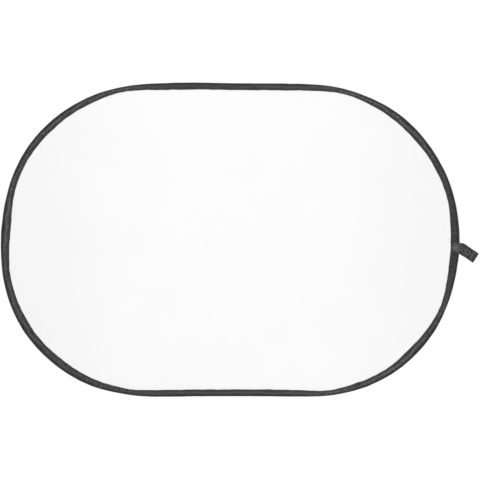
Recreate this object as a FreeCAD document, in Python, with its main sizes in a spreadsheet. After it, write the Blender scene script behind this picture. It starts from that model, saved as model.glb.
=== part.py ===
import FreeCAD, Part
import math
import os

import Sketcher
from FreeCAD import Placement, Rotation, Vector

# A collapsible reflector panel: one white cloth held flat by a closed loop of flat spring steel, which
# sits in a folded edge binding. A folded webbing loop, sewn over the rim at one end, hangs it or pulls
# it from its bag.
#
# Frame, in millimetres: the panel stands upright in the XZ plane, with X to the right and Y to the back.
# The origin is the outer edge of the rim at the middle of the top side, where a holder's clip takes it.

SIZES = {
    # the outline, over the binding
    "panel_length": 900,
    "panel_height": 615,
    "upper_straight": 11.5,  # how far each end runs straight above mid-height, before the upper corner
    "lower_straight": 24.5,  # the same below, where the spring fills the corners out a little more
    # the cloth and its binding
    "cloth_thick": 0.3,
    "cloth_play": 0.1,  # between the cloth and each leaf of the binding
    "cloth_edge": 1.5,  # how far the cloth passes the hem, inside the pocket
    "binding_thick": 0.6,
    "binding_width": 14.5,  # from the rim's outer edge to the hem's inner edge
    "hem_width": 6,  # where the two leaves lie flat on the cloth
    "binding_gap": 0.6,  # between its two ends, which meet under the strap
    "binding_join": 5,  # where they meet, below the strap's middle
    # the spring band, on edge like a barrel hoop, and the sleeve that joins its ends
    "band_width": 4,
    "band_thick": 0.9,
    "band_gap": 1,  # between the band's two ends
    "ferrule_length": 36,
    "ferrule_wall": 0.5,
    "ferrule_round": 0.8,  # outer corner radius of its section
    "ferrule_play": 0.05,  # between the band and the ferrule
    "crimp_pitch": 8,
    "crimp_count": 4,
    "crimp_radius": 2.2,
    "crimp_depth": 0.25,
    "mouth_bevel": 0.12,
    "sleeve_wall": 0.25,
    "sleeve_play": 0.03,  # between the ferrule and the shrunk sleeve
    "sleeve_lap": 4,  # how far the sleeve passes each end of the ferrule
    "sleeve_taper": 1.5,  # where it has shrunk down to the band, past the ferrule's end
    "pocket_play": 0.3,  # between the shrunk sleeve and the binding
    # the webbing strap
    "strap_width": 20,
    "strap_thick": 1.25,
    "strap_drop": 15.5,  # its middle at the rim's outer edge, below the panel's mid-height
    "strap_bend": 2,  # radius of its bends over the rim
    "strap_inset": 0.5,  # the lower corner of its cut ends, short of the hem's inner edge
    "sewn_droop": 18,  # degrees below level, where it is sewn over the rim
    "sewing_play": 0.1,  # between the strap and the binding
    "shoulder_reach": 1,  # where its leaves leave the rim, inside the rim's outer edge
    "hollow_reach": 2.6,  # where its leaves meet, outside the rim's outer edge
    "neck_reach": 7,  # the line that the loop swings about, outside the rim's outer edge
    "neck_tip": 0.3,  # half the thickness left at the tip of the sewn part
    "swing_gap": 0.5,
    "loop_drop": 3.6,  # the loop's middle at the neck, below the strap's middle
    "loop_droop": 32.5,  # degrees below level
    "loop_length": 34.6,
    "loop_gap": 6.5,
    "loop_bend": 4,  # radius of its bends, where its leaves part
    "taper_start": 8,
    "taper_end": 16,
}


class Size:
    """A length with both its value and the formula over the sheet that gives it."""

    def __init__(self, value, formula):
        self.value = value
        self.formula = formula

    def join(self, other, sign, value):
        other_formula = other.formula if isinstance(other, Size) else str(other)
        return Size(value, f"({self.formula} {sign} {other_formula})")

    def __add__(self, other):
        return self.join(other, "+", self.value + number(other))

    def __sub__(self, other):
        return self.join(other, "-", self.value - number(other))

    def __mul__(self, other):
        return self.join(other, "*", self.value * number(other))

    def __truediv__(self, other):
        return self.join(other, "/", self.value / number(other))

    def __neg__(self):
        return Size(-self.value, f"(-{self.formula})")


def number(size):
    return size.value if isinstance(size, Size) else size


def tangent(angle):
    return Size(math.tan(math.radians(angle.value)), f"tan({angle.formula} * 1 deg)")


def cosine(angle):
    return Size(math.cos(math.radians(angle.value)), f"cos({angle.formula} * 1 deg)")


def sine(angle):
    return Size(math.sin(math.radians(angle.value)), f"sin({angle.formula} * 1 deg)")


# The document, its sheet of sizes, and small helpers for bodies and sketches


doc = FreeCAD.newDocument("collapsible_reflector")
sheet = doc.addObject("Spreadsheet::Sheet", "Sizes")
size = {}
for row, (alias, value) in enumerate(SIZES.items(), start=1):
    sheet.set(f"A{row}", alias)
    sheet.set(f"B{row}", str(value))
    sheet.setAlias(f"B{row}", alias)
    size[alias] = Size(value, f"Sizes.{alias}")
doc.recompute()


def new_body(label, x=0, z=0, droop=None):
    """A body whose own origin stands at x, z in the panel's frame, turned down by an angle about Y."""
    body = doc.addObject("PartDesign::Body", label)
    body.Label = label
    turn = Rotation(Vector(0, 1, 0), number(droop) if droop else 0)
    body.Placement = Placement(Vector(number(x), 0, number(z)), turn)
    if isinstance(x, Size):
        body.setExpression("Placement.Base.x", x.formula)
    if isinstance(z, Size):
        body.setExpression("Placement.Base.z", z.formula)
    if droop:
        body.setExpression("Placement.Rotation.Angle", droop.formula)
    return body


def new_sketch(body, name, plane):
    sketch = body.newObject("Sketcher::SketchObject", name)
    origin_plane = next(part for part in body.Origin.OriginFeatures if part.Role == plane)
    sketch.AttachmentSupport = [(origin_plane, "")]
    sketch.MapMode = "FlatFace"
    return sketch


def measure(sketch, length, kind, *where):
    """A dimension of the sketch, tied to the sheet."""
    index = sketch.addConstraint(Sketcher.Constraint(kind, *where, number(length)))
    sketch.setExpression(f"Constraints[{index}]", length.formula)


OCTAGON = 0.414  # half a side of an octagon, over the radius of the circle inside it
SAME_PLACE = 0.001  # how near two places are that count as one
START, END, CENTRE = 1, 2, 3
X_AXIS, Y_AXIS = -1, -2
ORIGIN = (-1, 1)


def place(sketch, curve, end, x, y):
    """Fix one end of a curve; a plain 0 lays it on the sketch's axis."""
    for value, kind, axis in ((x, "DistanceX", Y_AXIS), (y, "DistanceY", X_AXIS)):
        if isinstance(value, Size):
            measure(sketch, value, kind, *ORIGIN, curve, end)
        else:
            sketch.addConstraint(Sketcher.Constraint("PointOnObject", curve, end, axis))


def draw_section(sketch, corners):
    """A closed section through its corners. A corner (x, y, radius, turn) is reached by an arc of that
    radius, anticlockwise where turn is 1 and clockwise where it is -1, and any other by a straight line."""
    count = len(corners)
    first = sketch.GeometryCount
    starts = []
    for index, corner in enumerate(corners):
        before = corners[index - 1]
        a = Vector(number(before[0]), number(before[1]), 0)
        b = Vector(number(corner[0]), number(corner[1]), 0)
        if len(corner) == 2:
            sketch.addGeometry(Part.LineSegment(a, b))
            starts.append((START, END))
            continue
        radius, turn = corner[2], corner[3]
        half = (b - a) / 2
        height = math.sqrt(max(radius.value**2 - half.Length**2, 0))
        side = Vector(-half.y, half.x, 0).normalize() * height * turn
        centre = a + half + side
        low, high = (a, b) if turn > 0 else (b, a)
        angles = [math.atan2(point.y - centre.y, point.x - centre.x) for point in (low, high)]
        circle = Part.Circle(centre, Vector(0, 0, 1), radius.value)
        sketch.addGeometry(Part.ArcOfCircle(circle, *angles))
        starts.append((START, END) if turn > 0 else (END, START))
    for index in range(count):
        following = (index + 1) % count
        ends = (first + index, starts[index][1], first + following, starts[following][0])
        sketch.addConstraint(Sketcher.Constraint("Coincident", *ends))
    for index, corner in enumerate(corners):
        place(sketch, first + index, starts[index][1], corner[0], corner[1])
        if len(corner) == 4:
            measure(sketch, corner[2], "Radius", first + index)


def draw_outline(sketch, inset):
    """The panel's outline, that far inside the rim's outer edge: four corners, then the four straights."""
    half = size["panel_length"] / 2 - inset
    top = -inset
    foot = inset - size["panel_height"]
    upper = size["panel_height"] / 2 - size["upper_straight"] - inset
    lower = size["panel_height"] / 2 - size["lower_straight"] - inset
    right, left = half.value, -half.value
    first = sketch.GeometryCount
    corners = (
        (right - lower.value, foot.value + lower.value, lower, -90),
        (right - upper.value, top.value - upper.value, upper, 0),
        (left + upper.value, top.value - upper.value, upper, 90),
        (left + lower.value, foot.value + lower.value, lower, 180),
    )
    ends = []
    for x, y, radius, start in corners:
        circle = Part.Circle(Vector(x, y, 0), Vector(0, 0, 1), radius.value)
        arc = Part.ArcOfCircle(circle, math.radians(start), math.radians(start + 90))
        ends.append((arc.StartPoint, arc.EndPoint))
        sketch.addGeometry(arc)
    count = len(corners)
    for index in range(count):
        following = (index + 1) % count
        sketch.addGeometry(Part.LineSegment(ends[index][1], ends[following][0]))
    for index in range(count):
        arc, line, following = first + index, first + count + index, first + (index + 1) % count
        sketch.addConstraint(Sketcher.Constraint("Tangent", arc, END, line, START))
        sketch.addConstraint(Sketcher.Constraint("Tangent", line, END, following, START))
        kind = "Vertical" if index % 2 == 0 else "Horizontal"
        sketch.addConstraint(Sketcher.Constraint(kind, line))
        measure(sketch, corners[index][2], "Radius", arc)
    right_side, top_side, left_side, foot_side = range(first + count, first + 2 * count)
    measure(sketch, half, "DistanceX", *ORIGIN, right_side, START)
    measure(sketch, -half, "DistanceX", *ORIGIN, left_side, START)
    measure(sketch, top, "DistanceY", *ORIGIN, top_side, START)
    measure(sketch, foot, "DistanceY", *ORIGIN, foot_side, START)


def pad(body, sketch, name, length):
    feature = body.newObject("PartDesign::Pad", name)
    feature.Profile = sketch
    feature.Midplane = True
    feature.Length = length.value
    feature.setExpression("Length", length.formula)
    return feature


cuts = []


def pocket(body, sketch, name):
    """A cut right through, both ways from the sketch, kept with what it cuts for the checks at the end."""
    doc.recompute()
    uncut = body.Tip
    feature = body.newObject("PartDesign::Pocket", name)
    feature.Profile = sketch
    feature.Midplane = True
    feature.Type = "ThroughAll"
    cuts.append((feature, uncut))
    return feature


def round_bends(body, feature, name, radius, places):
    """Round the edges that stand on those places of the section, right across the strap."""
    doc.recompute()
    half = feature.Length.Value / 2
    corners = [Vector(number(x), number(y), half) for x, y in places]
    edges = []
    for index, edge in enumerate(feature.Shape.Edges, start=1):
        top = max((vertex.Point for vertex in edge.Vertexes), key=lambda point: point.z)
        upright = abs(edge.BoundBox.ZLength - 2 * half) < SAME_PLACE
        if upright and any((top - corner).Length < SAME_PLACE for corner in corners):
            edges.append(f"Edge{index}")
    if len(edges) != len(places):
        raise RuntimeError(f"{name} finds {len(edges)} edges")
    rounds = body.newObject("PartDesign::Fillet", name)
    rounds.Base = (feature, edges)
    rounds.Radius = radius.value
    rounds.setExpression("Radius", radius.formula)


def mirror(body, name, plane):
    """The body so far, joined to its image on the other side of one of its own planes."""
    copy = body.newObject("PartDesign::Mirrored", name)
    copy.TransformMode = "Whole shape"
    middle = next(part for part in body.Origin.OriginFeatures if part.Role == plane)
    copy.MirrorPlane = (middle, [""])
    body.Tip = copy


# Sizes that several pieces share


rim_edge = Size(0, "0")  # the outline itself, with nothing off it
leaf_face = size["cloth_thick"] / 2 + size["cloth_play"]  # the inner face of each binding leaf at the hem
hem_face = leaf_face + size["binding_thick"]
sleeve_rise = size["ferrule_play"] + size["ferrule_wall"] + size["sleeve_play"] + size["sleeve_wall"]
pocket_rise = sleeve_rise + size["pocket_play"]  # the pocket's wall, clear of the band's own face
rim_half = size["band_width"] / 2 + pocket_rise + size["binding_thick"]
band_inset = size["binding_thick"] + pocket_rise
sleeve_round = size["ferrule_round"] + size["sleeve_play"] + size["sleeve_wall"]
rim_round = sleeve_round + size["pocket_play"] + size["binding_thick"]
heel = band_inset + size["band_thick"] + sleeve_rise  # where the leaves start to close on the cloth
hem_start = size["binding_width"] - size["hem_width"]


# The cloth


def make_cloth():
    body = new_body("cloth_panel")
    outline = new_sketch(body, "cloth_outline", "XZ_Plane")
    draw_outline(outline, hem_start - size["cloth_edge"])
    pad(body, outline, "cloth", size["cloth_thick"])


# The edge binding: one strip folded round the band, its two leaves closing on the cloth at the hem


def folded(leaf):
    """The whole section, from the corners of its front half: on from the last come their mirror images."""
    back = []
    for index, corner in enumerate(leaf):
        arc = leaf[index + 1][2:] if index + 1 < len(leaf) else ()
        back.insert(0, (-corner[0], corner[1], *arc))
    return leaf + back


def make_binding(join_z):
    body = new_body("edge_binding")
    path = new_sketch(body, "rim_line", "XZ_Plane")
    draw_outline(path, rim_edge)
    section = new_sketch(body, "folded_strip", "YZ_Plane")
    wall = size["binding_thick"]
    crown = rim_half - rim_round
    bevel = (rim_round - wall) * OCTAGON
    front_leaf = [
        (-crown, 0),
        (-rim_half, -rim_round, rim_round, 1),
        (-rim_half, -heel),
        (-hem_face, -hem_start),
        (-hem_face, -size["binding_width"]),
        (-leaf_face, -size["binding_width"]),
        (-leaf_face, -hem_start),
        (wall - rim_half, -heel),
        (wall - rim_half, bevel - rim_round),
        (-crown - bevel, -wall),
    ]
    draw_section(section, folded(front_leaf))
    sweep = body.newObject("PartDesign::AdditivePipe", "strip_round_rim")
    sweep.Profile = section
    sweep.Spine = (path, [])
    # each straight keeps a flat of its own on the rim's side, where a holder's jaws bear
    sweep.Refine = False
    between = new_sketch(body, "between_ends", "XZ_Plane")
    outer = size["panel_length"] / 2 + wall
    inner = size["panel_length"] / 2 - size["binding_width"] - wall
    upper = join_z + size["binding_gap"] / 2
    lower = join_z - size["binding_gap"] / 2
    draw_section(between, [(inner, lower), (outer, lower), (outer, upper), (inner, upper)])
    join = pocket(body, between, "strip_ends")
    join.Refine = False


# The spring band and what joins it


def make_band():
    body = new_body("spring_band")
    outline = new_sketch(body, "band_outline", "XZ_Plane")
    draw_outline(outline, band_inset)
    draw_outline(outline, band_inset + size["band_thick"])
    pad(body, outline, "band", size["band_width"])
    slit = new_sketch(body, "slit", "XZ_Plane")
    side = size["band_gap"] / 2
    below = -size["panel_height"]
    above = below + size["binding_width"]
    draw_section(slit, [(-side, below), (side, below), (side, above), (-side, above)])
    pocket(body, slit, "band_ends")


def draw_box(sketch, half_width, half_depth, corner, rounded):
    """A rectangle about the sketch's origin, its corners round or cut off straight."""
    flat_width = half_width - corner
    flat_depth = half_depth - corner
    arc = (corner, 1) if rounded else ()
    draw_section(
        sketch,
        [
            (flat_width, -half_depth),
            (half_width, -flat_depth, *arc),
            (half_width, flat_depth),
            (flat_width, half_depth, *arc),
            (-flat_width, half_depth),
            (-half_width, flat_depth, *arc),
            (-half_width, -flat_depth),
            (-flat_width, -half_depth, *arc),
        ],
    )


def end_faces(feature, reach):
    """The names of a tube's two end faces, square to X at that distance each way."""
    return [
        f"Face{index}"
        for index, face in enumerate(feature.Shape.Faces, start=1)
        if abs(abs(face.CenterOfMass.x) - reach) < SAME_PLACE and face.BoundBox.XLength < SAME_PLACE
    ]


def make_ferrule(centre_z):
    body = new_body("band_ferrule", z=centre_z)
    half_width = size["band_width"] / 2 + size["ferrule_play"]
    half_depth = size["band_thick"] / 2 + size["ferrule_play"]
    wall = size["ferrule_wall"]
    section = new_sketch(body, "ferrule_section", "YZ_Plane")
    draw_box(section, half_width + wall, half_depth + wall, size["ferrule_round"], rounded=True)
    draw_section(
        section,
        [
            (half_width, -half_depth),
            (half_width, half_depth),
            (-half_width, half_depth),
            (-half_width, -half_depth),
        ],
    )
    tube = pad(body, section, "ferrule_tube", size["ferrule_length"])
    doc.recompute()
    bevel = body.newObject("PartDesign::Chamfer", "mouths")
    bevel.Base = (tube, end_faces(tube, size["ferrule_length"].value / 2))
    bevel.Size = size["mouth_bevel"].value
    bevel.setExpression("Size", size["mouth_bevel"].formula)

    crimps = new_sketch(body, "crimp", "XZ_Plane")
    first_x = -size["crimp_pitch"] * (size["crimp_count"] - 1) / 2
    centre = half_depth + wall + size["crimp_radius"] - size["crimp_depth"]
    for height in (centre, -centre):
        middle = Vector(first_x.value, height.value, 0)
        index = sketch_circle(crimps, middle, size["crimp_radius"])
        measure(crimps, first_x, "DistanceX", *ORIGIN, index, CENTRE)
        measure(crimps, height, "DistanceY", *ORIGIN, index, CENTRE)
    dents = pocket(body, crimps, "crimp_dents")
    row = body.newObject("PartDesign::LinearPattern", "crimp_row")
    row.Originals = [dents]
    row.Direction = (next(part for part in body.Origin.OriginFeatures if part.Role == "X_Axis"), [""])
    run = size["crimp_pitch"] * (size["crimp_count"] - 1)
    row.Length = run.value
    row.setExpression("Length", run.formula)
    row.Occurrences = int(size["crimp_count"].value)
    row.setExpression("Occurrences", size["crimp_count"].formula)
    body.Tip = row


def sketch_circle(sketch, middle, radius):
    index = sketch.addGeometry(Part.Circle(middle, Vector(0, 0, 1), radius.value))
    measure(sketch, radius, "Radius", index)
    return index


def make_sleeve(centre_z):
    """Shrunk on: one tube that passes over the ferrule and closes on the band beyond its ends."""
    body = new_body("ferrule_sleeve", z=centre_z)
    play = size["sleeve_play"]
    over_ferrule = size["ferrule_play"] + size["ferrule_wall"] + play
    round_ferrule = size["ferrule_round"] + play
    middle = Size(0, "0")
    end = size["ferrule_length"] / 2
    stations = (
        ("sleeve_middle", middle, over_ferrule, round_ferrule),
        ("sleeve_at_ferrule_end", end, over_ferrule, round_ferrule),
        ("sleeve_on_band", end + size["sleeve_taper"], play, play),
        ("sleeve_mouth", end + size["sleeve_lap"], play, play),
    )
    sections = []
    for name, x, rise, radius in stations:
        section = new_sketch(body, name, "YZ_Plane")
        section.AttachmentOffset = Placement(Vector(0, 0, x.value), Rotation())
        section.setExpression("AttachmentOffset.Base.z", x.formula)
        for wall in (0, size["sleeve_wall"]):
            off_band = rise + wall
            half_width = size["band_width"] / 2 + off_band
            half_depth = size["band_thick"] / 2 + off_band
            # its corners are flats that touch the rounds, so that they clear the ferrule's own
            draw_box(section, half_width, half_depth, (radius + wall) * (1 - OCTAGON), rounded=False)
        sections.append(section)
    half = body.newObject("PartDesign::AdditiveLoft", "half_sleeve")
    half.Profile = sections[0]
    half.Sections = sections[1:]
    half.Ruled = True
    mirror(body, "sleeve", "YZ_Plane")


# The webbing strap: its two sewn leaves over the rim, and the free loop


def make_strap_root(rim_x, strap_z):
    body = new_body("strap_root", x=rim_x, z=strap_z)
    width = size["strap_width"]
    thick = size["strap_thick"]
    play = size["sewing_play"]
    section = new_sketch(body, "front_strap", "XY_Plane")
    tip = size["neck_reach"] - thick - size["swing_gap"]
    cut = size["strap_inset"] - size["binding_width"]
    shoulder = (-size["shoulder_reach"], -(rim_half + play + thick))
    over_heel = (-heel, -(rim_half + play + thick))
    over_hem = (-hem_start, -(hem_face + play + thick))
    draw_section(
        section,
        [
            (tip, 0),
            (size["hollow_reach"], 0),
            (-size["shoulder_reach"], -(rim_half + play)),
            (-heel, -(rim_half + play)),
            (-hem_start, -(hem_face + play)),
            (cut, -(hem_face + play)),
            (cut, -(hem_face + play + thick)),
            over_hem,
            over_heel,
            shoulder,
            (tip, -size["neck_tip"]),
        ],
    )
    leaf = pad(body, section, "front_leaf_of_strap", width * 2)
    round_bends(body, leaf, "front_bends", size["strap_bend"], (over_hem, over_heel, shoulder))
    mirror(body, "back_leaf_of_strap", "XZ_Plane")

    # its edges and cut ends, which droop, are trimmed from leaves that run level
    trim = new_sketch(body, "strap_edges", "XZ_Plane")
    droop = size["sewn_droop"]
    edge_rise = width / 2 / cosine(droop)
    corner_z = -cut * tangent(droop) - edge_rise
    tip_z = -size["neck_reach"] * tangent(droop)
    clear = width * 2
    draw_section(trim, [(-clear, -clear), (clear, -clear), (clear, clear), (-clear, clear)])
    draw_section(
        trim,
        [
            (cut, corner_z),
            (size["neck_reach"], tip_z - edge_rise),
            (size["neck_reach"], tip_z + edge_rise),
            (cut + width * sine(droop), corner_z + width * cosine(droop)),
        ],
    )
    pocket(body, trim, "strap_trim")


def make_pull_loop(rim_x, strap_z):
    body = new_body("pull_loop", rim_x + size["neck_reach"], strap_z - size["loop_drop"], size["loop_droop"])
    thick = size["strap_thick"]
    inner = size["loop_gap"] / 2
    outer = inner + thick
    fold = size["loop_length"] - outer
    back = size["strap_width"] / 2
    leaves_part = (size["taper_start"], -thick)
    leaves_level = (size["taper_end"], -outer)
    leaves_level_inside = (size["taper_end"], -inner)
    section = new_sketch(body, "front_of_loop", "XY_Plane")
    draw_section(
        section,
        [
            (-back, 0),
            (-back, -thick),
            leaves_part,
            leaves_level,
            (fold, -outer),
            (fold + outer, 0, outer, 1),
            (fold + inner, 0),
            (fold, -inner, inner, -1),
            leaves_level_inside,
            (size["taper_start"], 0),
        ],
    )
    half = pad(body, section, "front_half", size["strap_width"])
    places = (leaves_part, leaves_level, leaves_level_inside)
    round_bends(body, half, "loop_bends", size["loop_bend"], places)
    mirror(body, "back_half", "XZ_Plane")

    mitre = new_sketch(body, "mitre", "XZ_Plane")
    rise = size["strap_width"]
    lean = rise * tangent(size["loop_droop"])
    behind = size["loop_length"]
    draw_section(mitre, [(-lean, rise), (-behind, rise), (-behind, -rise), (lean, -rise)])
    pocket(body, mitre, "mitre_at_neck")

    knuckle = new_sketch(body, "knuckle_circle", "XY_Plane")
    upright = Rotation(Vector(0, -1, 0), number(size["loop_droop"]))
    knuckle.AttachmentOffset = Placement(Vector(0, 0, 0), upright)
    knuckle.setExpression("AttachmentOffset.Rotation.Angle", size["loop_droop"].formula)
    index = sketch_circle(knuckle, Vector(0, 0, 0), thick)
    knuckle.addConstraint(Sketcher.Constraint("Coincident", index, CENTRE, *ORIGIN))
    pad(body, knuckle, "knuckle", size["strap_width"] / cosine(size["loop_droop"]))


band_z = band_inset + size["band_thick"] / 2 - size["panel_height"]
right_edge = size["panel_length"] / 2
strap_height = -size["panel_height"] / 2 - size["strap_drop"]

make_cloth()
make_binding(strap_height - size["binding_join"])
make_band()
make_ferrule(band_z)
make_sleeve(band_z)
make_strap_root(right_edge, strap_height)
make_pull_loop(right_edge, strap_height)
doc.recompute()


# Check every object, then write each body


for thing in doc.Objects:
    if {"Invalid", "Error"} & set(thing.State):
        raise RuntimeError(f"{thing.Name} failed: {thing.State}")
for cut, uncut in cuts:
    if cut.Shape.Volume > uncut.Shape.Volume - SAME_PLACE:
        raise RuntimeError(f"{cut.Name} cuts nothing")
bodies = [thing for thing in doc.Objects if thing.TypeId == "PartDesign::Body"]
for body in bodies:
    if body.Shape.isNull() or not body.Shape.isValid() or len(body.Shape.Solids) != 1:
        raise RuntimeError(f"{body.Label} isn't one valid solid")
os.makedirs("parts", exist_ok=True)
for body in bodies:
    body.Shape.exportStep(f"parts/{body.Label}.step")
    box = body.Shape.optimalBoundingBox()
    sides = f"{box.XLength:.1f} x {box.YLength:.1f} x {box.ZLength:.1f} mm"
    print(f"{body.Label}: {body.Shape.Volume:.0f} mm3, {sides}")
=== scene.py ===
import math

import bmesh
import bpy
import numpy as np
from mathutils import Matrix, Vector


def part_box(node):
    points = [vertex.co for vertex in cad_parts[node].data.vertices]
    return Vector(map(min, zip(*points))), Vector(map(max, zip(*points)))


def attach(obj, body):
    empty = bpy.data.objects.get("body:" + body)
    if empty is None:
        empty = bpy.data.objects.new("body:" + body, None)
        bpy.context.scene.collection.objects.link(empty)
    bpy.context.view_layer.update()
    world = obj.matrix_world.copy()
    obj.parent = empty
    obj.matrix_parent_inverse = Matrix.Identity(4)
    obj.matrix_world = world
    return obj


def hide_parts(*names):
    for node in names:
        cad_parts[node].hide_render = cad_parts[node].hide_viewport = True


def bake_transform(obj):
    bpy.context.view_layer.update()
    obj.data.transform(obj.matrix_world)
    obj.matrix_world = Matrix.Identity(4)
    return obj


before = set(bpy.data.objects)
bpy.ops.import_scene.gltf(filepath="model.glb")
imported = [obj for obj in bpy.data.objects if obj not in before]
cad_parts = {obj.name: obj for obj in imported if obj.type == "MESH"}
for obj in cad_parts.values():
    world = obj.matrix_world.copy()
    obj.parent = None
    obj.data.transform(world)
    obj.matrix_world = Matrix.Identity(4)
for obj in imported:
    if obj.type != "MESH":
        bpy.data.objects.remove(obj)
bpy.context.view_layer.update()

# A collapsible reflector panel, in metres: a taut white cloth, the charcoal tape folded round its sprung hoop,
# the stitches that hold them together, and the webbing loop sewn over the rim at one end.

MM = 0.001
rim_low, rim_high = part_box("edge_binding")
panel_middle = (rim_low + rim_high) / 2
half_length = (rim_high.x - rim_low.x) / 2
half_height = (rim_high.z - rim_low.z) / 2
WHITE = (1.0, 1.0, 1.0, 1.0)


def add(name, data):
    """A new object that holds the data, in the scene."""
    made = bpy.data.objects.new(name, data)
    bpy.context.scene.collection.objects.link(made)
    return made


def in_frame(x, y, z):
    """Points in the frame, by the way to them from the panel's middle."""
    return np.stack([panel_middle.x + x, panel_middle.y + y, panel_middle.z + z], axis=-1)


def smooth(share):
    """0 to 1 with no corner at either end."""
    share = np.clip(share, 0, 1)
    return share * share * (3 - 2 * share)


def swell(off, reach):
    """A rounded swelling, 1 at its middle and a third at its reach."""
    return np.exp(-((off / reach) ** 2))


# Camera, square on to the panel

SEEN_WIDTH = 946.6 * MM  # what the picture takes in, at the panel
AIM = Vector((20.6 * MM, 0, -0.2 * MM))  # from the panel's middle
LENS, SENSOR = 100, 36

camera_data = bpy.data.cameras.new("camera")
camera_data.lens = LENS
camera_data.sensor_width = SENSOR
camera = add("camera", camera_data)
camera.location = panel_middle + AIM - Vector((0, SEEN_WIDTH * LENS / SENSOR, 0))
camera.rotation_euler = (math.pi / 2, 0, 0)
bpy.context.scene.camera = camera


# Shader nodes, written as expressions


class Socket:
    """The output of a node. Each operator on it adds a Math node to its finish."""

    def __init__(self, finish, output):
        self.finish = finish
        self.output = output

    def maths(self, operation, *values):
        return self.finish.node("ShaderNodeMath", {"operation": operation}, dict(enumerate(values)))

    def __add__(self, other):
        return self.maths("ADD", self, other)

    def __sub__(self, other):
        return self.maths("SUBTRACT", self, other)

    def __rsub__(self, other):
        return self.maths("SUBTRACT", other, self)

    def __mul__(self, other):
        return self.maths("MULTIPLY", self, other)

    __radd__ = __add__
    __rmul__ = __mul__

    def wave(self, length):
        """A ripple from 0 to 1, one for each length."""
        return self.maths("SINE", self * (math.tau / length)) * 0.5 + 0.5


class Finish:
    """The nodes of a material, or of the studio's surroundings."""

    def __init__(self, holder, ending="ShaderNodeOutputMaterial"):
        holder.use_nodes = True
        self.holder = holder
        self.ending = ending
        self.nodes = holder.node_tree.nodes
        self.links = holder.node_tree.links
        self.nodes.clear()

    def node(self, kind, settings, sockets, output=0):
        """Any node: its type, its settings, then the values or links of its sockets."""
        made = self.nodes.new(kind)
        for name, value in settings.items():
            setattr(made, name, value)
        for name, value in sockets.items():
            if isinstance(value, Socket):
                self.links.new(value.output, made.inputs[name])
            else:
                made.inputs[name].default_value = value
        return Socket(self, made.outputs[output])

    def strip(self):
        """The place along and across the strip that a piece is made of, and its pale share, which on the tape
        and the strap holds painted highlight and painted shade.
        """
        return self.node("ShaderNodeAttribute", {"attribute_name": "strip"}, {}, "Vector")

    def own_place(self):
        return self.node("ShaderNodeTexCoord", {}, {}, "Object")

    def parts(self, vector):
        return [self.node("ShaderNodeSeparateXYZ", {}, {0: vector}, part) for part in "XYZ"]

    def stretched(self, vector, *scale):
        return self.node("ShaderNodeVectorMath", {"operation": "MULTIPLY"}, {0: vector, 1: scale})

    def noise(self, vector, blotch, detail=2.0):
        """Noise from 0 to 1, with blotches of about that size."""
        sockets = {"Vector": vector, "Scale": 1 / blotch, "Detail": detail}
        return self.node("ShaderNodeTexNoise", {}, sockets)

    def towards_ends(self, near, far, least=0.0):
        """From the least to 1, towards the panel's two ends, between those distances from its middle."""
        x = self.parts(self.own_place())[0]
        sockets = {"Value": x.maths("ABSOLUTE", x), "From Min": near, "From Max": far, "To Min": least}
        return self.node("ShaderNodeMapRange", {"interpolation_type": "SMOOTHSTEP"}, sockets)

    def colour(self, share, low, high):
        """A colour between two greys or colours, by that share."""
        ends = [(*end, 1) if isinstance(end, tuple) else (end, end, end, 1) for end in (low, high)]
        settings = {"data_type": "RGBA", "clamp_factor": True}
        return self.node("ShaderNodeMix", settings, {0: share, 6: ends[0], 7: ends[1]}, 2)

    def relief(self, height, depth):
        """The normal of a surface that stands up by a height from 0 to 1, times the depth."""
        return self.node("ShaderNodeBump", {}, {"Height": height, "Distance": depth})

    def surface(self, **sockets):
        """A Principled surface. An underscore stands for a space."""
        named = {name.replace("_", " "): value for name, value in sockets.items()}
        return self.node("ShaderNodeBsdfPrincipled", {}, named)

    def white_when_seen(self, lit, white):
        """The white shader where it is seen, straight or in gloss or glass, and the lit one elsewhere."""
        rays = ("Is Camera Ray", "Is Glossy Ray", "Is Transmission Ray")
        seen = sum(self.node("ShaderNodeLightPath", {}, {}, ray) for ray in rays)
        return self.node("ShaderNodeMixShader", {}, {0: seen, 1: lit, 2: white})

    def ends_in(self, shader):
        ending = self.nodes.new(self.ending)
        self.links.new(shader.output, ending.inputs["Surface"])
        return self.holder


# Finishes


def tape_finish():
    """Charcoal grosgrain: fine ribs across the strip, and a pale share from the mesh that holds a painted
    highlight stripe along the tape and painted shade in places.
    """
    finish = Finish(bpy.data.materials.new("binding_tape"))
    strip = finish.strip()
    along, across, pale = finish.parts(strip)
    slub = finish.noise(finish.stretched(strip, 1, 0.25, 0), 1.1 * MM)
    blotch = finish.noise(finish.stretched(strip, 1, 2.5, 0), 22 * MM)
    fleck = finish.noise(finish.stretched(strip, 0.5, 1, 0), 2.6 * MM)
    rib = (along + slub * (0.5 * MM)).wave(1.3 * MM)
    warp = (across + slub * (0.3 * MM)).wave(0.9 * MM)
    cloth = rib * 0.6 + warp * rib * 0.3 + slub * 0.25
    uneven = pale * (fleck - 0.5) * 3.2 + (blotch - 0.5) * 0.25
    # pale carries the painted highlight stripe and painted shade that the rim gives the tape.
    share = pale + uneven * finish.towards_ends(EVEN_TO, UNEVEN_FROM, EVENNESS) + cloth * 0.15 - 0.075
    return finish.ends_in(finish.surface(
        Base_Color=finish.colour(share, 0.008, 0.15),
        Roughness=0.88 - slub * 0.16,
        Specular_IOR_Level=0.2,
        Normal=finish.relief(cloth, 0.16 * MM),
    ))


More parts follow.
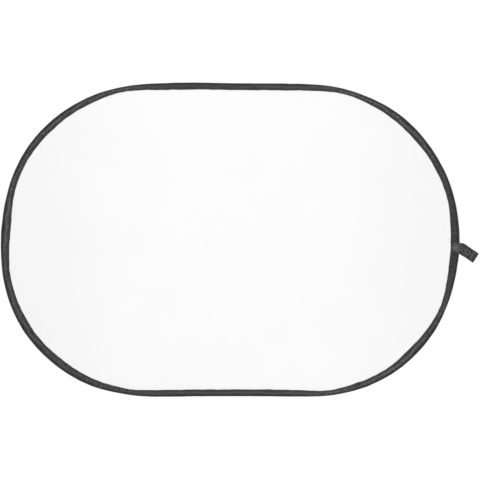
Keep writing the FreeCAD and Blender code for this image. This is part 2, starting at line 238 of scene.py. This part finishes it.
def webbing_finish():
    """Charcoal webbing whose weave is in its mesh: fine fibres along its yarns, an uneven dye, and a pale share
    from the mesh that holds painted highlight and painted shade.
    """
    finish = Finish(bpy.data.materials.new("webbing"))
    strip = finish.strip()
    fibre = finish.noise(finish.stretched(strip, 0.35, 2.4, 0), 0.35 * MM, 3.0)
    blotch = finish.noise(finish.stretched(strip, 1, 1, 0), 5 * MM)
    pale = finish.parts(strip)[2]
    # pale carries the strap's painted highlight and painted shade.
    share = pale + blotch * 1.3 + fibre * 0.25 - 0.78
    return finish.ends_in(finish.surface(
        Base_Color=finish.colour(share, 0.014, 0.19),
        Roughness=0.84 - fibre * 0.2,
        Specular_IOR_Level=0.2,
        Normal=finish.relief(fibre, 0.12 * MM),
    ))


def thread_finish():
    """Bonded thread, in three twisted plies."""
    finish = Finish(bpy.data.materials.new("sewing_thread"))
    along, girth, _ = finish.parts(finish.strip())
    ply = (along + girth * 1.4).wave(0.55 * MM)
    return finish.ends_in(finish.surface(
        Base_Color=finish.colour(ply, 0.03, 0.085),
        Roughness=0.75 - ply * 0.2,
        Normal=finish.relief(ply, 0.05 * MM),
    ))


def cloth_finish():
    """White taffeta: a fine plain weave with uneven yarns, a faint bloom over wide patches, and painted shade
    that makes its two ends a little greyer."""
    finish = Finish(bpy.data.materials.new("white_cloth"))
    place = finish.own_place()
    x, _, z = finish.parts(place)
    pick = finish.noise(finish.stretched(place, 0.06, 1, 1), 1.6 * MM)
    end = finish.noise(finish.stretched(place, 1, 1, 0.06), 1.6 * MM)
    warp = (x + end * (0.4 * MM)).wave(0.9 * MM)
    weft = (z + pick * (0.4 * MM)).wave(0.9 * MM)
    weave = warp * weft * 0.6 + pick * 0.3 + end * 0.3
    bloom = finish.noise(place, 140 * MM)
    # Painted shade: the cloth a little greyer towards the panel's two ends.
    painted_shade_at_ends = finish.towards_ends(150 * MM, 400 * MM)
    share = weave * 0.25 + bloom * 0.35 + 0.3 - painted_shade_at_ends * 0.32
    return finish.ends_in(finish.surface(
        Base_Color=finish.colour(share, 0.86, 0.945),
        Roughness=0.8 - weave * 0.2,
        Specular_IOR_Level=0.3,
        Normal=finish.relief(weave, 0.08 * MM),
    ))


def sprung_steel_finish():
    """Tempered strip: fine scratches along it, and straw to grey temper stains."""
    finish = Finish(bpy.data.materials.new("spring_steel"))
    place = finish.own_place()
    scratch = finish.noise(finish.stretched(place, 1, 40, 1), 9 * MM, 4.0)
    stain = finish.noise(place, 60 * MM)
    return finish.ends_in(finish.surface(
        Base_Color=finish.colour(stain * 0.7 + scratch * 0.3, (0.36, 0.36, 0.37), (0.5, 0.48, 0.44)),
        Metallic=1.0,
        Roughness=0.26 + scratch * 0.22,
        Normal=finish.relief(scratch, 0.02 * MM),
    ))


def plated_steel_finish():
    finish = Finish(bpy.data.materials.new("plated_steel"))
    place = finish.own_place()
    spangle = finish.noise(place, 2.5 * MM, 3.0)
    scuff = finish.noise(finish.stretched(place, 0.2, 1, 1), 0.6 * MM, 3.0)
    return finish.ends_in(finish.surface(
        Base_Color=finish.colour(spangle, (0.5, 0.51, 0.53), (0.68, 0.69, 0.7)),
        Metallic=1.0,
        Roughness=0.28 + spangle * 0.15 + scuff * 0.12,
        Normal=finish.relief(scuff, 0.03 * MM),
    ))


def shrunk_plastic_finish():
    finish = Finish(bpy.data.materials.new("shrunk_plastic"))
    pucker = finish.noise(finish.stretched(finish.own_place(), 0.3, 1, 1), 1.8 * MM, 3.0)
    return finish.ends_in(finish.surface(
        Base_Color=finish.colour(pucker, 0.018, 0.035),
        Roughness=0.38 + pucker * 0.2,
        Normal=finish.relief(pucker, 0.08 * MM),
    ))


# Meshes made through rings of points


def skin(name, rings, strip, finish, joined=True):
    """A closed mesh through rings of points, each of them a loop. The last ring joins the first, or both ends
    are closed by faces from each point to the one that faces it across the loop. strip holds each point's place
    along and across the strip that it is made of, and its pale share, which on the tape and the strap carries
    painted highlight and painted shade."""
    count, around = rings.shape[:2]
    index = np.arange(count * around).reshape(count, around)
    this = index if joined else index[:-1]
    following = np.roll(index, -1, axis=0) if joined else index[1:]
    quads = np.stack([this, following, np.roll(following, -1, axis=1), np.roll(this, -1, axis=1)], axis=-1)
    faces = quads.reshape(-1, 4).tolist()
    if not joined:
        step = np.arange(around // 2 - 1)
        rungs = np.stack([step, step + 1, around - 2 - step, around - 1 - step], axis=-1)
        faces += index[0][rungs].tolist() + index[-1][rungs].tolist()
    mesh = bpy.data.meshes.new(name)
    mesh.from_pydata(rings.reshape(-1, 3), [], faces)
    held = mesh.attributes.new("strip", "FLOAT_VECTOR", "POINT")
    held.data.foreach_set("vector", strip.astype(np.float32).ravel())
    shaped = bmesh.new()
    shaped.from_mesh(mesh)
    bmesh.ops.remove_doubles(shaped, verts=shaped.verts, dist=1e-7)
    bmesh.ops.recalc_face_normals(shaped, faces=shaped.faces)
    shaped.to_mesh(mesh)
    shaped.free()
    mesh.shade_smooth()
    mesh.materials.append(finish)
    return add(name, mesh)


# The rim's line, and how it strays from a drawn outline

UPPER_STRAIGHT = 11.5 * MM  # how far each end runs straight above mid-height
LOWER_STRAIGHT = 24.5 * MM
STRAP_DROP = 15.5 * MM  # the strap's middle below mid-height; the rim's line starts behind it
STITCH = 4 * MM
CORNER_STEPS = 240
NARROW = 13.5 * MM  # the tape's width on the long sides
EVEN_TO, UNEVEN_FROM = 130 * MM, 200 * MM  # from the middle of a long side: where the tape starts to pucker
EVENNESS = 0.3  # what is left of its puckering on the long sides
SLACK = 0.8 * MM  # how far the tape stands off the drawn outline
HOOP_LETS_IN = 0.75 * MM  # the furthest that it comes inside that line, where it lies tight on the hoop

# Round the panel's middle, in degrees from the strap's end over the top: the middle of each stretch, how far it
# goes in millimetres, and its reach in degrees.
HOOP_STRAYS = (  # where the hoop pushes the rim out, or lets it in
    (0, 2.3, 4), (9, 1.2, 9), (34, 0.6, 6), (50, -1.8, 8), (60, -1.6, 5), (82, 0.5, 8), (103, 2.1, 11),
    (123, -1.2, 7), (148, 1.3, 10), (156, 0.8, 5), (172, -2.0, 6), (181, 0.5, 3), (186, -0.4, 3),
    (202, 1.2, 8), (234, -1.6, 5), (248, 1.1, 7), (293, 0.8, 7), (320, 0.7, 9), (346, -2.0, 7), (357, 0.8, 3),
)  # fmt: skip
WIDE_STRETCHES = (  # where the tape takes in more of the cloth, or less
    (0, 4.2, 7), (18, 0.8, 5), (31, 2.7, 8), (52, -3.4, 7), (107, 0.6, 4), (125, -3.3, 7), (148, 1.3, 9),
    (177, 4.9, 6), (184, 1.0, 4), (191, 1.0, 4), (201, 3.2, 7.5), (216, 3.1, 9.5), (236, -2.4, 5),
    (302, -3.1, 6), (328, 3.2, 7), (342, -1.8, 3), (353, 1.7, 4),
)  # fmt: skip
OVER_THE_SLEEVE = ((270, 0.35, 5.5),)  # where its crown stands higher
STRAY_WANDER, WIDTH_WANDER = 0.12, 0.25  # how far the edge and the width waver besides, in millimetres
CROWN_WANDER = 0.05  # how much the crown's height and place waver, as a share
HIGHLIGHT_AND_SHADE_STRETCHES = (  # where the painted highlight stripe along the tape is stronger, or weaker as painted shade, as a share
    (0, -0.18, 18), (36, 0.25, 14), (72, 0.12, 8), (97, -0.05, 9), (145, 0.22, 12), (174, 0.29, 9),
    (199, 0.13, 6), (222, 0.02, 8), (238, -0.15, 7), (288, 0.05, 8), (322, 0.36, 9),
)  # fmt: skip
PALE_ALL_OVER = 0.16
PALE_TIGHT, LOOSEST = 0.4, -0.05  # how much paler the tape is where it is narrow, and the wide end of that
# Painted highlight: a paler stripe along the tape about the middle of its width, and how much it wavers.
HIGHLIGHT_STRIPE, STRIPE_WANDER = 0.26, 0.08
STRIPE_AT, STRIPE_REACH, STRIPE_STRAYS = 0.52, 0.13, 0.05  # across the tape's width
PALE_INSIDE, INSIDE_FROM, INSIDE_OVER = 0.1, 0.45, 0.3  # towards the hem


class Rim:
    """The rim's outer edge, anticlockwise from behind the strap, and what changes along it."""

    def __init__(self):
        upper = half_height - UPPER_STRAIGHT
        lower = half_height - LOWER_STRAIGHT
        side, rise = half_length, half_height
        corners = (
            (side - upper, rise - upper, upper),
            (upper - side, rise - upper, upper),
            (lower - side, lower - rise, lower),
            (side - lower, lower - rise, lower),
        )
        x, z, turn = [side], [-STRAP_DROP], [0.0]
        for quarter, (middle_x, middle_z, radius) in enumerate(corners):
            angles = (quarter + np.linspace(0, 1, CORNER_STEPS)) * math.pi / 2
            x.extend(middle_x + radius * np.cos(angles))
            z.extend(middle_z + radius * np.sin(angles))
            turn.extend(angles)
        self.x = np.array(x + [side])
        self.z = np.array(z + [-STRAP_DROP])
        self.turn = np.array(turn + [math.tau])
        steps = np.hypot(np.diff(self.x), np.diff(self.z))
        self.travelled = np.concatenate([[0], np.cumsum(steps)])
        self.length = self.travelled[-1]
        self.stitches = round(self.length / STITCH)

    def between(self, along, values):
        return np.interp(np.mod(along, self.length), self.travelled, values)

    def stretches(self, along, table):
        """The sum of the swellings of a table, at places along the rim."""
        round_middle = np.degrees(np.arctan2(self.between(along, self.z), self.between(along, self.x)))
        off = [(round_middle - middle + 180) % 360 - 180 for middle, _, _ in table]
        return sum(far * swell(away, reach) for away, (_, far, reach) in zip(off, table))

    def wander(self, along, seed, shortest, longest):
        """An unevenness of about -1 to 1: ripples between two lengths, a whole number of each round the rim."""
        random = np.random.default_rng(seed)
        counts = np.unique(np.round(self.length / np.geomspace(shortest, longest, 10)))
        ripples = [np.sin(math.tau * (count * along / self.length + random.uniform())) for count in counts]
        return sum(ripples) / math.sqrt(len(ripples))

    def puckered(self, along):
        """How unevenly the tape lies: 1 round the ends, less on the long sides."""
        off = np.abs(self.between(along, self.x))
        return EVENNESS + (1 - EVENNESS) * smooth((off - EVEN_TO) / (UNEVEN_FROM - EVEN_TO))

    def stray(self, along):
        """How far the outer edge stands out of its drawn outline."""
        wander = STRAY_WANDER * self.wander(along, 5, 25 * MM, 120 * MM)
        slack = SLACK + MM * (self.stretches(along, HOOP_STRAYS) + wander)
        return np.maximum(slack, -HOOP_LETS_IN)

    def width(self, along):
        wander = WIDTH_WANDER * self.wander(along, 7, 18 * MM, 160 * MM)
        return NARROW + MM * (self.stretches(along, WIDE_STRETCHES) + wander)

    def crown(self, along):
        """How high the tape stands over the hoop, and how far in from the rim's edge."""
        wander = CROWN_WANDER * self.puckered(along)
        high = CROWN * (1 + wander * self.wander(along, 11, 20 * MM, 120 * MM))
        high = high + MM * self.stretches(along, OVER_THE_SLEEVE)
        return high, self.width(along) * (CROWN_AT + wander * self.wander(along, 13, 25 * MM, 140 * MM))

    def pale(self, along, share):
        """How pale the tape is, at a share of its width: an even base, paler where it is narrow and towards the
        hem, and a painted highlight stripe along it that painted shade weakens in places.
        """
        wander = STRIPE_WANDER * self.puckered(along) * self.wander(along, 17, 9 * MM, 90 * MM)
        stripe = HIGHLIGHT_STRIPE + self.stretches(along, HIGHLIGHT_AND_SHADE_STRETCHES) + wander
        middle = STRIPE_AT + STRIPE_STRAYS * self.wander(along, 19, 30 * MM, 140 * MM)
        tight = np.maximum(1 - self.width(along) / NARROW, LOOSEST)
        inside = smooth((share - INSIDE_FROM) / INSIDE_OVER)
        pale = PALE_ALL_OVER + PALE_TIGHT * tight + stripe * swell(share - middle, STRIPE_REACH)
        return pale + PALE_INSIDE * inside

    def place(self, along, inset, depth):
        """Points in the frame, by the way along the rim, in from its edge, and back from the middle plane."""
        turn = self.between(along, self.turn)
        out = self.stray(along) - inset
        x = self.between(along, self.x) + np.cos(turn) * out
        z = self.between(along, self.z) + np.sin(turn) * out
        return in_frame(x, depth + 0 * x, z)


# The tape's section

CROWN, CROWN_AT = 3.75 * MM, 0.37
NOSE = 3  # how square the tape's fold is over the hoop; 2 is an ellipse
HEM = 0.85 * MM  # half the thickness where the two leaves close on the cloth
HEM_FROM = 0.84
TAPE_THICK = 0.44 * MM
LEAF_GAP = 0.2 * MM  # from the middle plane to a leaf's inner face
SEAM_IN = 2.2 * MM  # from the hem's inner edge to the stitches
SEAM_DEEP, SEAM_WIDE = 0.26 * MM, 0.55 * MM
SEAM_CLEAR = 1.1 * MM  # from the seam to where the face above it is smooth
LIP_FROM, LIP_BEND = 0.45 * MM, 0.12 * MM  # in from the hem's edge, where its lip starts to round
LIP_FALL = np.array([0.93, 0.62])  # how thick the lip is at its bend and at its edge, as shares of the hem
LIP_TUCK = 0.1 * MM  # from there to where the inner face starts
GATHER = 0.13 * MM  # how far the tape puckers between the hoop and the seam
GATHER_AT, GATHER_REACH = 0.66, 0.2  # across the tape's width
ENDS_APART = 0.02 * MM  # where the strip starts and ends, behind the strap

rim = Rim()


def tape_rise(inset, along, pull=0.5):
    """How far the tape's face stands from the middle plane. pull is how hard the seam draws it in there."""
    width = rim.width(along)
    high, crown_at = rim.crown(along)
    nose = high * np.clip(1 - np.abs(1 - inset / crown_at) ** NOSE, 0, 1) ** (1 / NOSE)
    slope = (inset - crown_at) / (HEM_FROM * width - crown_at)
    fall = HEM + (high - HEM) * (1 + np.cos(math.pi * np.clip(slope, 0, 1))) / 2
    seam = swell(inset - width + SEAM_IN, SEAM_WIDE)
    pucker = GATHER * rim.puckered(along) * rim.wander(along, 29, 7 * MM, 18 * MM)
    gather = pucker * swell(inset / width - GATHER_AT, GATHER_REACH)
    return np.where(inset < crown_at, nose, fall) + gather - SEAM_DEEP * (0.5 + pull) * seam


def make_binding():
    """The tape as one folded strip: its face from hem to hem round the hoop, and its inner face back again."""
    count = 2 * rim.stitches
    along = np.append(np.arange(count) * rim.length / count, rim.length - ENDS_APART)[:, None]
    pull = (np.arange(count + 1) % 2)[:, None]
    width = rim.width(along)
    high, crown_at = rim.crown(along)

    nose = crown_at * (1 - np.cos(math.pi / 2 * np.linspace(0, 1, 9) ** 1.25) ** (2 / NOSE))
    seam_at = width - SEAM_IN
    fall = crown_at + (seam_at - SEAM_CLEAR - crown_at) * np.linspace(0, 1, 9)[1:]
    seam = seam_at + SEAM_WIDE * np.array([-1.4, -0.7, 0, 0.7, 1.4])
    face = np.concatenate([nose, fall, seam, width - LIP_FROM], axis=1)
    face_rise = tape_rise(face, along, pull)
    lip = np.concatenate([width - LIP_BEND, width], axis=1)
    lip_rise = face_rise[:, -1:] * LIP_FALL

    hollow = crown_at - TAPE_THICK
    arc = math.pi / 2 * np.linspace(1, 0, 7)
    inner_seam = seam_at + SEAM_WIDE * np.array([1.4, 0, -1.4])
    inner_fall = crown_at + (inner_seam[:, -1:] - crown_at) * np.array([0.75, 0.5, 0.25])
    inner = np.concatenate([width - LIP_TUCK, inner_seam, inner_fall], axis=1)
    inner_rise = np.maximum(tape_rise(inner, along, pull) - TAPE_THICK, LEAF_GAP)
    inner_nose = crown_at - hollow * np.clip(np.cos(arc), 0, 1) ** (2 / NOSE)
    inner_nose_rise = (high - TAPE_THICK) * np.sin(arc) ** (2 / NOSE)

    front = np.concatenate([face, lip, inner, inner_nose], axis=1)
    front_rise = np.concatenate([face_rise, lip_rise, inner_rise, inner_nose_rise], axis=1)
    insets = np.concatenate([front, front[:, -2:0:-1]], axis=1)
    depths = np.concatenate([-front_rise, front_rise[:, -2:0:-1]], axis=1)
    rings = rim.place(along, insets, depths)
    # The tape's pale share, with its painted highlight stripe and painted shade.
    pale = rim.pale(along, insets / width)
    strip = np.stack([along + 0 * insets, np.sign(depths) * insets, pale], axis=-1)
    return skin("folded_binding", rings, strip, tape_finish())


# Stitches, as one thread that dips into its holes

THREAD = 0.24 * MM  # radius
STITCH_STEPS = np.array([0.0, 0.15, 0.32, 0.5, 0.68, 0.85])
THREAD_SIDES = 6
ARCH, DIP = 1.9, 1.3  # how far it arches over each stitch, and how deep it starts, in its radii


def thread_lift(share):
    """The thread's height along one stitch: under the surface at its holes, and lying on it between them."""
    return THREAD * (ARCH * np.sin(math.pi * share) ** 0.5 - DIP)


def make_thread(name, path, finish):
    """A round thread along a closed path of points."""
    ahead = np.roll(path, -1, axis=0) - np.roll(path, 1, axis=0)
    ahead /= np.linalg.norm(ahead, axis=1, keepdims=True)
    side = np.cross(ahead, (0, 1, 0))
    side /= np.linalg.norm(side, axis=1, keepdims=True)
    up = np.cross(side, ahead)
    turn = np.arange(THREAD_SIDES)[:, None] * math.tau / THREAD_SIDES
    rings = path[:, None] + THREAD * (side[:, None] * np.cos(turn) + up[:, None] * np.sin(turn))
    travelled = np.cumsum(np.linalg.norm(path - np.roll(path, 1, axis=0), axis=1))
    girth = np.broadcast_to(turn[:, 0] * THREAD, rings.shape[:2])
    strip = np.stack([travelled[:, None] + 0 * girth, girth, 0 * girth], axis=-1)
    return skin(name, rings, strip, finish)


def make_hem_threads(finish):
    """The row of lockstitch on each face, which closes the tape on the cloth."""
    share = np.tile(STITCH_STEPS, rim.stitches)
    along = (np.repeat(np.arange(rim.stitches), len(STITCH_STEPS)) + share) * rim.length / rim.stitches
    inset = rim.width(along) - SEAM_IN
    rise = tape_rise(inset, along, 0.5 - 0.5 * np.sin(math.pi * share)) + thread_lift(share)
    return [
        make_thread(f"hem_thread_{name}", rim.place(along, inset, side * rise), finish)
        for name, side in (("front", -1), ("back", 1))
    ]


# The cloth

CLOTH_THICK = 0.3 * MM
CLOTH_IN = 7 * MM  # how far its cut edge lies inside the rim's outer edge
TO_HEM = np.array([0, 0.4, 0.75])  # its rings inside the tape, as shares of the way from there to the hem
PAST_HEM = np.array([0, 0.8, 1.8, 3, 4.5, 6.5, 9, 12, 16, 21, 27, 34, 42]) * MM
SPOKES = 28
PUCKER, PUCKER_REACH = 0.2, 9 * MM  # how far its short puckers stand, in millimetres, and go past the hem
DRAG, DRAG_REACH = 0.22, 48 * MM  # the same, for its long ones
SWELLS_FROM, LEAVES_HEM = 45 * MM, 2.5 * MM  # past the hem: where its wide swells grow, and its puckers start


def cloth_relief(points, along, past):
    """How far the taut cloth strays back and forth: wide swells, and puckers where the hem draws it in."""
    x, z = points[..., 0], points[..., 2]
    swells = (
        0.45 * np.sin(x / (61 * MM) + 0.6) * np.sin(z / (47 * MM) + 1.9)
        + 0.3 * np.sin((x + 0.7 * z) / (38 * MM) + 2.2)
        + 0.2 * np.sin((0.4 * x - z) / (29 * MM))
    )
    past = np.maximum(past, 0)
    open_cloth = 1 - np.exp(-past / SWELLS_FROM)
    clear = smooth(past / LEAVES_HEM)
    pucker = PUCKER * rim.wander(along, 21, 9 * MM, 26 * MM) * np.exp(-past / PUCKER_REACH)
    drag = DRAG * rim.wander(along, 23, 40 * MM, 110 * MM) * np.exp(-past / DRAG_REACH)
    relief = MM * (swells * open_cloth + (pucker + drag) * clear)
    relief[:, -1] = relief[:, -1].mean()
    return relief


def make_cloth():
    """One layer, from its cut edge inside the tape to the panel's middle, on both its faces."""
    count = rim.stitches
    along = np.arange(count)[:, None] * rim.length / count
    hem = rim.width(along)
    inset = np.concatenate([CLOTH_IN + (hem - CLOTH_IN) * TO_HEM, hem + PAST_HEM], axis=1)
    edge = rim.place(along, inset, 0)
    inward = np.linspace(1, 0, SPOKES + 1)[1:, None]
    centre = np.array(panel_middle)
    points = np.concatenate([edge, centre + (edge[:, -1:] - centre) * inward], axis=1)
    past = np.linalg.norm(points - edge[:, :1], axis=2) + CLOTH_IN - hem
    front, back = points.copy(), points.copy()
    relief = cloth_relief(points, along, past)
    front[..., 1] += relief - CLOTH_THICK / 2
    back[..., 1] += relief + CLOTH_THICK / 2
    rings = np.concatenate([front[:, ::-1], back], axis=1)
    return skin("stretched_cloth", rings, np.zeros_like(rings), cloth_finish())


# The webbing strap: out over the rim, down to its folded tip, and back over the rim behind

STRAP_WIDE, STRAP_THICK = 21.3 * MM, 1.25 * MM
SEWN_RUN, LOOP_RUN = 17.9 * MM, 30.7 * MM  # before and after the turn down in its own plane
SEWN_DROOP, LOOP_DROOP = math.radians(18), math.radians(32.5)
TURN_AT = (453 * MM, -29.5 * MM)  # what it turns about, from the panel's middle
TURN_RADIUS = 12.2 * MM
BACK_SHIFT = 1.3 * MM  # how far the leaf behind rucks up above the front one, where the turn starts
RUCKS_OVER = 6 * MM  # before that; after it, the leaf runs straight to the folded tip
ON_TAPE = 0.14 * MM  # what its yarns stand off the tape
CLOSED, OPEN = 0.68 * MM, 3.875 * MM  # half the distance between its two leaves
LEAVES_RIM, CLOSES_BY = 2 * MM, -3 * MM  # in from the rim's edge, and then past it
OPENS_OVER = 15 * MM
CUT_CORNER, PRESSED = 1.4 * MM, 0.2 * MM  # how far its melted corners are rounded, and its faces pressed in
MELT_REACH = 1.2 * MM
BULGE, BULGE_REACH = 0.45 * MM, 2.5 * MM  # where its lower edge crowds together at the turn
EDGE_THIN = 0.06  # the square of how thick it still is at its very edges, as a share
YARNS = 16
YARN_ROW, YARN_RELIEF = 2.2 * MM, 0.2 * MM
ROW_STEPS, YARN_STEPS = 4, 4

turn_run = TURN_RADIUS * (LOOP_DROOP - SEWN_DROOP)
leaf_run = SEWN_RUN + turn_run + LOOP_RUN
straight_run = leaf_run - OPEN


def strap_leaf(run, across):
    """The middle of one leaf in the panel's plane, by the way from its cut end, and half the leaves' gap."""
    turned = np.clip((run - SEWN_RUN) / turn_run, 0, 1)
    droop = SEWN_DROOP + (LOOP_DROOP - SEWN_DROOP) * turned
    straight = np.minimum(run - SEWN_RUN, 0) + np.maximum(run - SEWN_RUN - turn_run, 0)
    x = TURN_AT[0] + (TURN_RADIUS + across) * np.sin(droop) + straight * np.cos(droop)
    z = TURN_AT[1] + (TURN_RADIUS + across) * np.cos(droop) - straight * np.sin(droop)
    along = z + STRAP_DROP
    inset = half_length + rim.stray(along) - x
    under = np.maximum(inset, LEAVES_RIM)
    tilt = (tape_rise(under + 0.5 * MM, along, -0.5) - tape_rise(under - 0.5 * MM, along, -0.5)) / MM
    on_tape = tape_rise(under, along, -0.5) + ON_TAPE + STRAP_THICK / 2 * np.sqrt(1 + tilt**2)
    closing = smooth((LEAVES_RIM - inset) / (LEAVES_RIM - CLOSES_BY))
    opening = smooth((run - SEWN_RUN - turn_run - MM) / OPENS_OVER)
    at_edge = swell(across + STRAP_WIDE / 2 - MM, BULGE_REACH)
    bulge = BULGE * at_edge * swell(run - SEWN_RUN - turn_run / 2, BULGE_REACH)
    gap = on_tape + (CLOSED - on_tape) * closing + (OPEN - CLOSED) * opening + bulge
    return x, z, gap


def strap_weave(run, across):
    """How far the yarns stand up, from 0 to 1: columns of short floats, each half a row on from the next."""
    column = (across / STRAP_WIDE + 0.5) * YARNS
    float_up = 0.5 + 0.5 * np.cos(math.tau * (run / YARN_ROW + np.floor(column) % 2 / 2))
    return np.abs(np.sin(math.pi * column)) ** 0.6 * (0.35 + 0.65 * float_up)


def make_strap():
    fold_run = math.pi * OPEN
    whole = 2 * straight_run + fold_run
    steps = round(whole / YARN_ROW) * ROW_STEPS
    run = np.linspace(0, whole, steps + 1)[:, None]
    across = STRAP_WIDE * (np.arange(YARNS * YARN_STEPS + 1) / (YARNS * YARN_STEPS) - 0.5)[None]
    from_end = np.minimum(run, whole - run)
    narrowed = CUT_CORNER * (1 - np.sqrt(1 - np.clip(1 - from_end / CUT_CORNER, 0, 1) ** 2))
    folded = np.clip((run - straight_run) / OPEN, 0, math.pi)
    leaf = np.minimum(from_end, straight_run) + OPEN * np.sin(folded)
    ruck = smooth((leaf - SEWN_RUN + RUCKS_OVER) / RUCKS_OVER) * np.clip((leaf_run - leaf) / LOOP_RUN, 0, 1)
    shifted = across * (1 - 2 * narrowed / STRAP_WIDE) + BACK_SHIFT * ruck * (run > whole / 2)
    x, z, gap = strap_leaf(leaf, shifted)
    melted = swell(from_end, MELT_REACH)
    y = -(gap - PRESSED * melted) * np.cos(folded)
    sheet = in_frame(x, y, z)
    out = np.cross(np.gradient(sheet, axis=0), np.gradient(sheet, axis=1))
    out /= np.linalg.norm(out, axis=2, keepdims=True)

    weave = strap_weave(run, across)
    edge = np.abs(across) / (STRAP_WIDE / 2)
    selvedge = np.sqrt(np.clip(1 - edge**10, EDGE_THIN, 1))
    half = (STRAP_THICK / 2 + YARN_RELIEF * (weave - 0.5) * (1 - melted) - PRESSED * melted) * selvedge
    half = half[..., None]
    rings = np.concatenate([sheet + out * half, (sheet - out * half)[:, ::-1]], axis=1)

    # Painted highlight where the sewn leaves lie over the rim, and painted shade at the strap's edges and its
    # folded tip; the weave is paler where its yarns stand up.
    sewn = smooth((SEWN_RUN + 2 * MM - from_end) / (8 * MM))
    tip_shade = swell(run - whole / 2, 4 * MM)
    pale = 0.5 * weave + 0.2 * sewn - 0.35 * edge**4 - 0.25 * tip_shade
    strip = np.stack([run + 0 * pale, across + 0 * pale, pale], axis=-1)
    strip = np.concatenate([strip, strip[:, ::-1]], axis=1)
    return skin("webbing_strap", rings, strip, webbing_finish(), joined=False)


SEAM_RUNS, SEAM_ACROSS = (2.2 * MM, 12.9 * MM), 7.6 * MM
STRAP_STITCH = 3 * MM


def make_strap_threads(finish):
    """A box of stitches through each sewn leaf."""
    near, far = SEAM_RUNS
    corners = np.array([(near, -SEAM_ACROSS), (far, -SEAM_ACROSS), (far, SEAM_ACROSS), (near, SEAM_ACROSS)])
    path, shares = [], []
    for corner, onward in zip(corners, np.roll(corners, -1, axis=0)):
        stitches = round(np.linalg.norm(onward - corner) / STRAP_STITCH)
        share = (np.arange(stitches)[:, None] + STITCH_STEPS).ravel()
        path.append(corner + (onward - corner) * share[:, None] / stitches)
        shares.append(share % 1)
    run, across = np.concatenate(path).T
    share = np.concatenate(shares)
    x, z, gap = strap_leaf(run, across)
    lift = gap + STRAP_THICK / 2 + thread_lift(share)
    threads = []
    for name, side in (("front", -1), ("back", 1)):
        threads.append(make_thread(f"strap_thread_{name}", in_frame(x, side * lift, z), finish))
    return threads


# The pieces, in place

binding = make_binding()
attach(binding, "panel")
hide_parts("edge_binding")

cloth = make_cloth()
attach(cloth, "panel")
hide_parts("cloth_panel")

strap = make_strap()
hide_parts("strap_root", "pull_loop")
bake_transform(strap)  # fmt: skip

thread = thread_finish()
for piece in make_hem_threads(thread) + make_strap_threads(thread):
    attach(piece, "panel")

for node, finish in (
    ("spring_band", sprung_steel_finish()),
    ("band_ferrule", plated_steel_finish()),
    ("ferrule_sleeve", shrunk_plastic_finish()),
):
    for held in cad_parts[node].material_slots:
        held.material = finish


# Floor, surroundings and lamps

FLOOR_DROP = 0.69  # the floor below the panel's middle
FLOOR_REACH = 2.2
SHADOW_REACH, WHITE_FROM = 0.7, 1.15  # from below the panel's middle: where the floor fades out, and is white
FLOOR_GLOW = 0.07


def make_floor():
    """A pale floor that keeps the panel's shadow, and turns to plain white further off."""
    finish = Finish(bpy.data.materials.new("studio_floor"))
    place = finish.own_place()
    paint = finish.colour(finish.noise(place, 0.3), 0.78, 0.82)
    lit = finish.surface(Base_Color=paint, Roughness=0.8)
    near = finish.surface(Base_Color=paint, Roughness=0.8, Emission_Color=WHITE, Emission_Strength=FLOOR_GLOW)
    white = finish.node("ShaderNodeEmission", {}, {"Color": WHITE, "Strength": 1.0})
    off = finish.node("ShaderNodeVectorMath", {"operation": "LENGTH"}, {0: place}, "Value")
    sockets = {"Value": off, "From Min": SHADOW_REACH, "From Max": WHITE_FROM}
    far = finish.node("ShaderNodeMapRange", {"interpolation_type": "SMOOTHSTEP"}, sockets)
    shown = finish.node("ShaderNodeMixShader", {}, {0: far, 1: near, 2: white})
    reach = FLOOR_REACH
    corners = [(-reach, -reach, 0), (reach, -reach, 0), (reach, reach, 0), (-reach, reach, 0)]
    mesh = bpy.data.meshes.new("studio_floor")
    mesh.from_pydata(corners, [], [(0, 1, 2, 3)])
    mesh.materials.append(finish.ends_in(finish.white_when_seen(lit, shown)))
    floor = add("studio_floor", mesh)
    floor.location = panel_middle - Vector((0, 0, FLOOR_DROP))
    return floor


def make_surroundings(strength):
    finish = Finish(bpy.data.worlds.new("studio"), "ShaderNodeOutputWorld")
    lit, white = (
        finish.node("ShaderNodeBackground", {}, {"Color": WHITE, "Strength": level})
        for level in (strength, 1.0)
    )
    bpy.context.scene.world = finish.ends_in(finish.white_when_seen(lit, white))


def soft_lamp(name, place, width, height, power):
    """A wide lamp at a place from the panel's middle, which it faces."""
    data = bpy.data.lights.new(name, "AREA")
    data.shape = "RECTANGLE"
    data.size, data.size_y = width, height
    data.energy = power
    lamp = add(name, data)
    lamp.location = panel_middle + Vector(place)
    lamp.rotation_euler = (-Vector(place)).to_track_quat("-Z", "Y").to_euler()


make_floor()
make_surroundings(0.45)
soft_lamp("front_key", (-0.5, -3.3, 2.5), 1.8, 1.3, 74)
soft_lamp("front_fill", (0.4, -2.2, -0.3), 1.2, 0.7, 9)
soft_lamp("back_key", (0.5, 3.3, 2.5), 1.8, 1.3, 74)
soft_lamp("back_fill", (-0.4, 2.2, -0.3), 1.2, 0.7, 9)
bpy.context.scene.view_settings.view_transform = "Standard"
